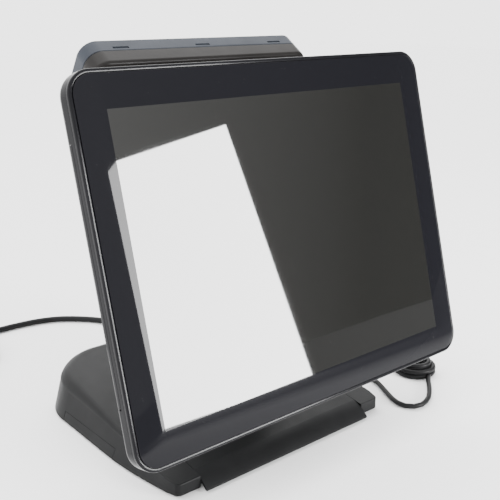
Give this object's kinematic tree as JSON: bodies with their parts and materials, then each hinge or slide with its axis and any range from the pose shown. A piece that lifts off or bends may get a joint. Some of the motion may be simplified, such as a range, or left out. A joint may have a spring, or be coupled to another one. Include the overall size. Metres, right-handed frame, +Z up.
{
  "type": "touch-screen point-of-sale terminal",
  "caption": "Countertop touch-screen sales terminal on a wedge base, with a tilting head, a customer display behind its top edge, a mains lead and a tied data lead.",
  "frame": {"origin": "on the table, under the middle of the terminal's box, cords left out", "axes": "+Z up, +Y from the operator towards the customer, +X to the operator's right"},
  "size_m": [0.4573, 0.4645, 0.3499],
  "materials": {
    "screen_glass": "glossy glass with a black printed border",
    "lcd": "dark grey panel, switched off",
    "gloss_trim": "glossy black with a bright edge",
    "gloss_housing": "glossy black",
    "matte_black": "fine-grained matte black",
    "display_front": "satin blue-grey black",
    "display_back": "satin grey black",
    "display_glass": "smoked window",
    "steel": "zinc-plated sheet",
    "aluminium": "satin",
    "board": "green solder mask",
    "port_metal": "tinned sheet",
    "rubber": "matte",
    "cord": "satin black sheath",
    "connector": "moulded black"
  },
  "bodies": {
    "base": {"base_cover": "matte_black", "base_front_cover": "matte_black", "base_plate": "steel", "rubber_foot_1": "rubber", "rubber_foot_2": "rubber", "rubber_foot_3": "rubber", "rubber_foot_4": "rubber", "neck_frame": "steel", "hinge_shaft": "steel", "hinge_nut_left": "steel", "hinge_nut_right": "steel", "friction_washer_left": "steel", "friction_washer_right": "steel", "neck_front_cover": "matte_black", "neck_rear_cover": "matte_black", "power_supply": "aluminium", "power_inlet": "connector", "io_board": "board", "serial_port": "port_metal", "usb_ports": "port_metal", "lan_port": "port_metal", "drawer_port": "port_metal", "mains_lead": "cord", "mains_coil": "cord", "mains_connector": "connector", "mains_plug": "connector", "data_lead": "cord", "data_hank": "cord", "hank_tie": "cord", "data_plug": "connector", "data_end_plug": "connector"},
    "head": {"touch_glass": "screen_glass", "front_frame": "gloss_trim", "lcd_module": "lcd", "chassis_plate": "steel", "main_board": "board", "heat_sink": "aluminium", "memory_module": "board", "touch_controller": "board", "storage_drive": "aluminium", "speaker_left": "matte_black", "speaker_right": "matte_black", "rear_housing": "gloss_housing", "head_bracket": "steel", "bracket_screw_1": "steel", "bracket_screw_2": "steel", "bracket_screw_3": "steel", "bracket_screw_4": "steel", "display_arm": "matte_black", "display_pin": "steel"},
    "customer_display": {"display_customer_shell": "display_front", "display_operator_shell": "display_back", "display_window": "display_glass", "display_module": "lcd"},
    "power_button": {"power_button": "matte_black"},
    "side_bay_cover": {"side_bay_cover": "gloss_housing"},
    "drive_bay_cover": {"drive_bay_cover": "matte_black"},
    "side_strip_left": {"side_strip_left": "matte_black"},
    "side_strip_right": {"side_strip_right": "matte_black"}
  },
  "joints": [
    {"name": "head_tilt", "type": "hinge", "parent": "base", "child": "head", "pos_m": [0, -0.04618, 0.1448], "axis": [1, 0, 0], "range_deg": [-50, 10]},
    {"name": "customer_display_tilt", "type": "hinge", "parent": "head", "child": "customer_display", "pos_m": [0, 0.01244, 0.30136], "axis": [1, 0, 0], "range_deg": [-20, 25]},
    {"name": "power_button_press", "type": "slide", "parent": "head", "child": "power_button", "axis": [0, -0.9659, 0.2588], "range_m": [0, 0.0012], "stiffness_N_per_m": 300, "springref_m": -0.002},
    {"name": "side_bay_cover_release", "type": "slide", "parent": "head", "child": "side_bay_cover", "axis": [-1, 0, 0], "range_m": [0, 0.03]},
    {"name": "drive_bay_cover_release", "type": "slide", "parent": "head", "child": "drive_bay_cover", "axis": [0, 0.9659, -0.2588], "range_m": [0, 0.03]},
    {"name": "side_strip_left_release", "type": "slide", "parent": "base", "child": "side_strip_left", "axis": [-1, 0, 0], "range_m": [0, 0.02]},
    {"name": "side_strip_right_release", "type": "slide", "parent": "base", "child": "side_strip_right", "axis": [1, 0, 0], "range_m": [0, 0.02]}
  ]
}
